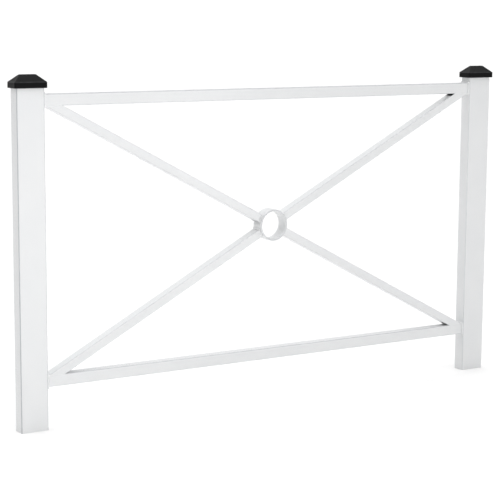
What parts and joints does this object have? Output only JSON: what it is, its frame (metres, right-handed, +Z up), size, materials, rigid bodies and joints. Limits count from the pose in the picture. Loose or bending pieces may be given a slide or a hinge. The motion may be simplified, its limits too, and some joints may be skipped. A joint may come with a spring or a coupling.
{
  "type": "crowd control barrier",
  "caption": "Welded street barrier: two rectangular posts, two rails and a diagonal cross meeting in a centre ring, with black post caps.",
  "frame": {"origin": "on the ground, midway between the two posts, at the middle of their depth", "axes": "+X along the barrier, +Z up; the front, where the centre ring stands proud of the arms, faces -Y"},
  "size_m": [2.017, 0.067, 1.205],
  "materials": {
    "powder_coat": "satin white powder coat",
    "coated_weld": "satin white powder coat over weld bead",
    "cap_plastic": "satin black moulded plastic"
  },
  "bodies": {
    "root": {"left_post": "powder_coat", "right_post": "powder_coat", "top_rail": "powder_coat", "bottom_rail": "powder_coat", "brace_upper_left": "powder_coat", "brace_upper_right": "powder_coat", "brace_lower_left": "powder_coat", "brace_lower_right": "powder_coat", "centre_ring": "powder_coat", "left_cap": "cap_plastic", "right_cap": "cap_plastic", "weld_top_rail_left": "coated_weld", "weld_top_rail_right": "coated_weld", "weld_bottom_rail_left": "coated_weld", "weld_bottom_rail_right": "coated_weld", "weld_ring_upper_left": "coated_weld", "weld_ring_upper_right": "coated_weld", "weld_ring_lower_left": "coated_weld", "weld_ring_lower_right": "coated_weld", "weld_brace_upper_left": "coated_weld", "weld_brace_upper_right": "coated_weld", "weld_brace_lower_left": "coated_weld", "weld_brace_lower_right": "coated_weld"}
  },
  "joints": []
}
